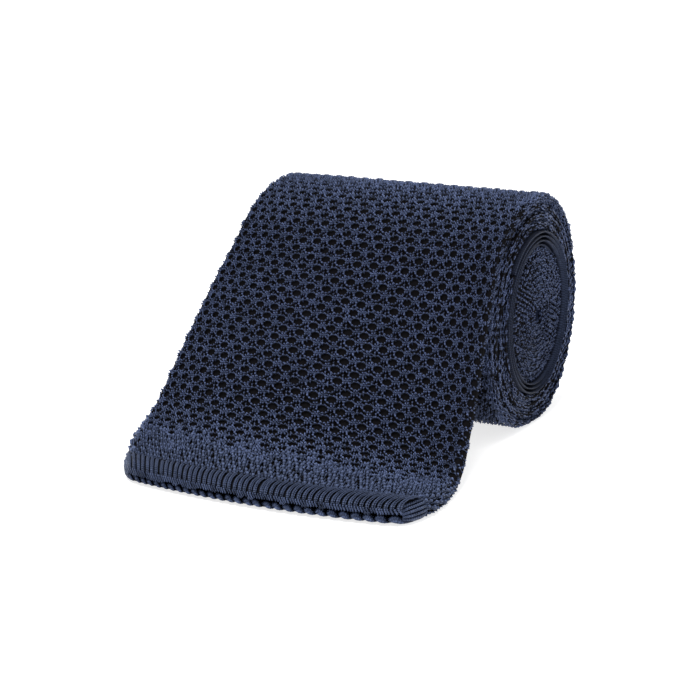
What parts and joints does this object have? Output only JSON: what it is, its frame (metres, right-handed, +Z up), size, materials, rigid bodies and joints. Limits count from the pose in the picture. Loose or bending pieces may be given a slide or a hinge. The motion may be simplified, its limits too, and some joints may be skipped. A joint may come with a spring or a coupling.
{
  "type": "rolled knit tie",
  "caption": "Square-ended knit tie rolled up on a surface, its broad openwork blade falling from the roll to a ribbed hem.",
  "frame": {"origin": "middle of the object's base, on the surface that it lies on", "axes": "+X across the tie, -Y from the roll towards the hem, +Z up"},
  "size_m": [0.0668, 0.097, 0.0465],
  "materials": {
    "openwork_knit": "navy silk-look openwork knit, soft low sheen",
    "hem_knit": "navy ribbed knit with a soft sheen along each rib",
    "neck_knit": "navy close smooth knit, soft sheen"
  },
  "bodies": {
    "root": {"front_blade": "openwork_knit", "hem_welt": "hem_knit", "hem_lip": "hem_knit", "neck_band": "neck_knit", "tail_blade": "openwork_knit"}
  },
  "joints": []
}
